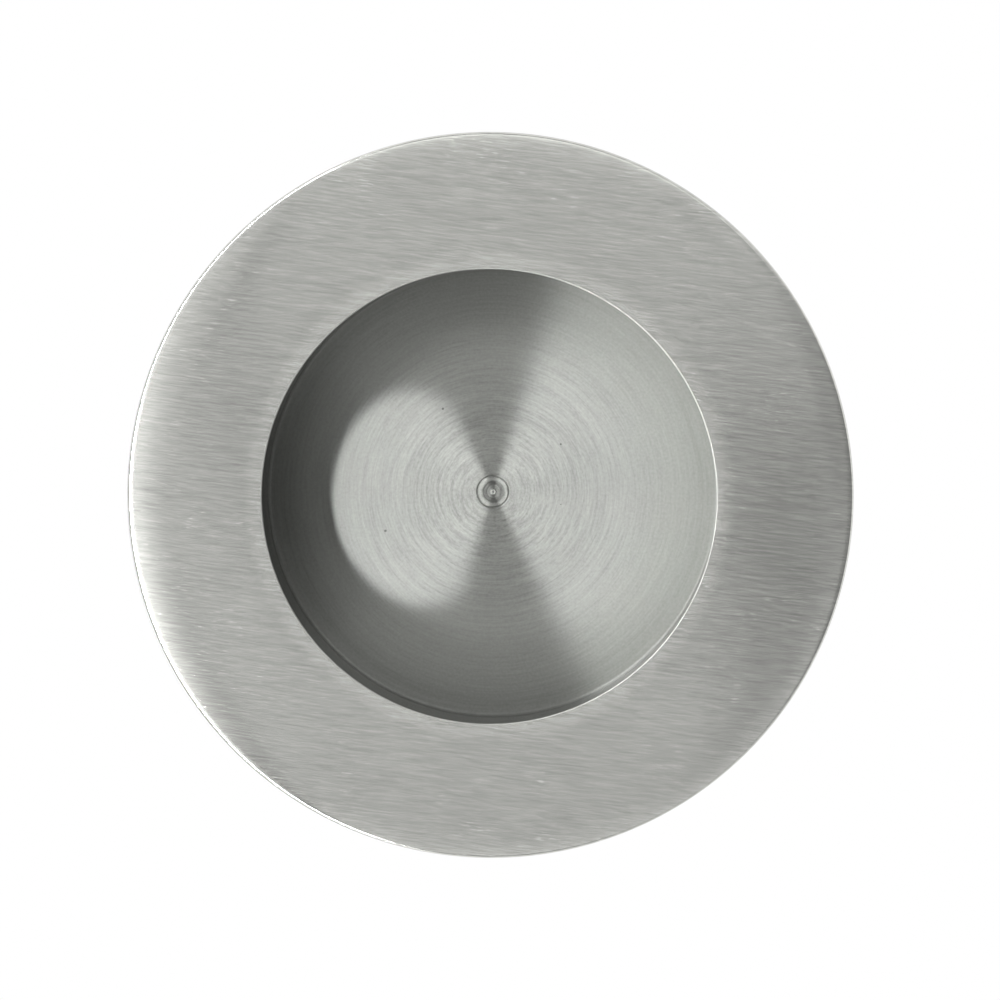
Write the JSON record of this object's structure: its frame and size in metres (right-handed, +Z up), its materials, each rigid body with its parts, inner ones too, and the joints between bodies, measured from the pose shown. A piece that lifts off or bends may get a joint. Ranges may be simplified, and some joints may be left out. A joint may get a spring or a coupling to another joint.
{
  "type": "recessed pull handle",
  "caption": "Round flush pull: a flat-bottomed finger recess in a slightly domed flange, with a cylindrical boss behind it that is bonded into a hole in a door or drawer front.",
  "frame": {"origin": "centre of the flange's flat back, where the handle seats on the face of the door", "axes": "+Y into the door along the handle's axis, -Y out towards the hand, +Z up"},
  "size_m": [0.08, 0.0122, 0.08],
  "materials": {
    "satin_stainless": "satin"
  },
  "bodies": {
    "root": {"pull_body": "satin_stainless"}
  },
  "joints": []
}
